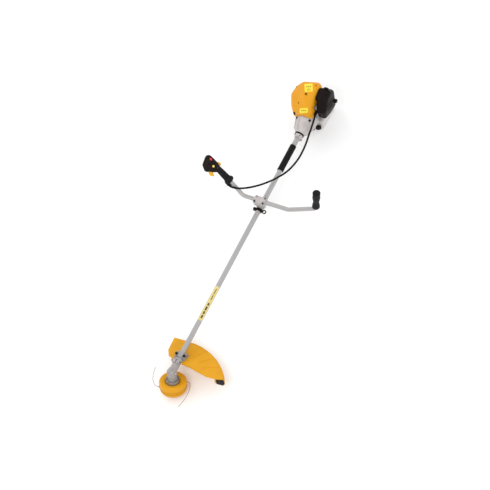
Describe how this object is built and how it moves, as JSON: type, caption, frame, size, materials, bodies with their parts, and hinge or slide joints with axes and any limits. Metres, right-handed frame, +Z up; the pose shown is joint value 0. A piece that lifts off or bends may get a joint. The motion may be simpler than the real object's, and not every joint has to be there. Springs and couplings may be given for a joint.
{
  "type": "string trimmer",
  "caption": "Petrol string trimmer with a bike handlebar: a long straight shaft joins a tilted bump-feed head under a skirted guard to a small engine with a tank below it.",
  "frame": {"origin": "centre of the footprint, at ground level", "axes": "+X along the shaft towards the engine, +Y to the operator's right, +Z up"},
  "size_m": [1.8616, 0.6443, 0.4027],
  "materials": {
    "shaft_silver": "satin lacquered tube, fine scratches along its length",
    "cast_alloy": "die cast, slightly rough",
    "bar_silver": "satin lacquered tube",
    "steel": "machined",
    "gear_steel": "ground and oiled",
    "spring_steel": "drawn wire",
    "bright_alloy": "machined",
    "black_steel": "black oxide",
    "bushing_plastic": "moulded",
    "foam": "closed-cell foam, matt",
    "yellow_plastic": "moulded, light gloss",
    "cover_plastic": "moulded, light gloss",
    "black_plastic": "moulded, fine texture",
    "housing_plastic": "moulded, fine texture",
    "trigger_plastic": "moulded",
    "grip_rubber": "ribbed soft grip",
    "red_plastic": "moulded",
    "cream_plastic": "moulded",
    "nylon": "extruded nylon line",
    "cable_skin": "smooth sheath",
    "tank_plastic": "translucent white, slightly waxy",
    "muffler_steel": "heat-darkened sheet",
    "ceramic": "glazed insulator",
    "filter_felt": "felt",
    "primer_rubber": "clear red bulb"
  },
  "bodies": {
    "chassis": {"shaft_tube": "shaft_silver", "shaft_bushings": "bushing_plastic", "foam_sleeve": "foam", "gear_case": "cast_alloy", "gearbox_bearings": "gear_steel", "guard_shell": "yellow_plastic", "guard_bracket": "cast_alloy", "clamp_bolts": "black_steel", "small_screws": "steel", "line_cutter": "black_steel", "handlebar": "bar_silver", "clamp_base": "cast_alloy", "clamp_cap": "cast_alloy", "harness_collar": "black_plastic", "left_grip": "grip_rubber", "throttle_grip": "grip_rubber", "throttle_housing_front": "housing_plastic", "throttle_housing_rear": "housing_plastic", "throttle_cable": "cable_skin", "clutch_housing": "cast_alloy", "damper_ring": "black_plastic", "crankcase": "cast_alloy", "cylinder_block": "cast_alloy", "spark_plug": "ceramic", "top_cover": "cover_plastic", "muffler": "muffler_steel", "carburettor": "bright_alloy", "air_filter": "filter_felt", "air_cleaner_cover": "black_plastic", "fuel_tank": "tank_plastic", "recoil_housing": "black_plastic"},
    "head": {"output_gear": "gear_steel", "output_spindle": "steel", "drive_flange": "bright_alloy", "head_housing": "yellow_plastic", "head_cover": "yellow_plastic", "head_spring": "spring_steel", "line_eyelets": "bright_alloy", "line_a": "nylon", "line_b": "nylon"},
    "bump": {"spool": "black_plastic", "wound_line": "nylon", "bump_knob": "yellow_plastic"},
    "drive": {"drive_shaft": "steel", "input_pinion": "gear_steel", "clutch_drum": "gear_steel"},
    "crank": {"crankshaft": "steel", "flywheel": "cast_alloy", "clutch_shoes": "gear_steel"},
    "piston_body": {"piston": "bright_alloy"},
    "trigger": {"throttle_trigger": "trigger_plastic"},
    "lockout": {"throttle_lockout": "trigger_plastic"},
    "switch": {"stop_switch": "red_plastic"},
    "start_lock": {"start_lock_button": "cream_plastic"},
    "choke": {"choke_lever": "black_plastic"},
    "primer": {"primer_bulb": "primer_rubber"},
    "tank_cap": {"fuel_cap": "black_plastic"},
    "cleaner_knob": {"air_cleaner_knob": "black_plastic"},
    "starter": {"starter_handle": "black_plastic"},
    "pulley": {"recoil_pulley": "black_plastic"}
  },
  "joints": [
    {"name": "head_spin", "type": "hinge", "parent": "chassis", "child": "head", "pos_m": [-0.813, 0.042, 0.128], "axis": [0.3746, 0, 0.9272], "continuous": true},
    {"name": "driveshaft_spin", "type": "hinge", "parent": "chassis", "child": "drive", "pos_m": [-0.313, 0.042, 0.128], "axis": [1, 0, 0], "continuous": true},
    {"name": "bump_slide", "type": "slide", "parent": "head", "child": "bump", "axis": [0.3746, 0, 0.9272], "range_m": [0, 0.006], "stiffness_N_per_m": 400, "springref_m": -0.008},
    {"name": "crankshaft_spin", "type": "hinge", "parent": "chassis", "child": "crank", "pos_m": [0.787, 0.042, 0.128], "axis": [1, 0, 0], "continuous": true},
    {"name": "piston_slide", "type": "slide", "parent": "chassis", "child": "piston_body", "axis": [0, 0, 1], "range_m": [-0.026, 0]},
    {"name": "trigger_hinge", "type": "hinge", "parent": "chassis", "child": "trigger", "pos_m": [0.18651, 0.28077, 0.34478], "axis": [-0.1065, -0.8519, 0.5127], "range_deg": [0, 18], "stiffness_Nm_per_rad": 0.06, "springref_deg": -17.19},
    {"name": "lockout_hinge", "type": "hinge", "parent": "chassis", "child": "lockout", "pos_m": [0.23302, 0.27392, 0.34306], "axis": [0.1065, 0.8519, -0.5127], "range_deg": [0, 12], "stiffness_Nm_per_rad": 0.06, "springref_deg": -17.19},
    {"name": "stop_switch_rock", "type": "hinge", "parent": "chassis", "child": "switch", "pos_m": [0.21826, 0.28081, 0.39375], "axis": [0.8785, -0.4367, 0.1937], "range_deg": [0, 12]},
    {"name": "start_lock_press", "type": "slide", "parent": "chassis", "child": "start_lock", "axis": [0.3896, 0.4204, -0.8194], "range_m": [0, 0.003], "stiffness_N_per_m": 300, "springref_m": -0.004},
    {"name": "choke_turn", "type": "hinge", "parent": "chassis", "child": "choke", "pos_m": [0.771, -0.018, 0.172], "axis": [0, 1, 0], "range_deg": [0, 60]},
    {"name": "primer_press", "type": "slide", "parent": "chassis", "child": "primer", "axis": [0, 0, 1], "range_m": [0, 0.004], "stiffness_N_per_m": 300, "springref_m": -0.003},
    {"name": "fuel_cap_turn", "type": "hinge", "parent": "chassis", "child": "tank_cap", "pos_m": [0.769, 0.023, 0.04], "axis": [-0.866, -0.5, 0], "range_deg": [0, 360]},
    {"name": "cleaner_knob_turn", "type": "hinge", "parent": "chassis", "child": "cleaner_knob", "pos_m": [0.849, -0.058, 0.172], "axis": [0, -1, 0], "range_deg": [0, 360]},
    {"name": "starter_pull", "type": "slide", "parent": "chassis", "child": "starter", "axis": [0, 1, 0], "range_m": [0, 0.05], "stiffness_N_per_m": 40, "springref_m": -0.05},
    {"name": "recoil_spin", "type": "hinge", "parent": "chassis", "child": "pulley", "pos_m": [0.857, 0.042, 0.128], "axis": [1, 0, 0], "range_deg": [0, 115]}
  ],
  "couplings": [
    {"joint": "driveshaft_spin", "follows": "head_spin", "ratio": 2},
    {"joint": "recoil_spin", "follows": "starter_pull", "rad_per_m": 40}
  ]
}
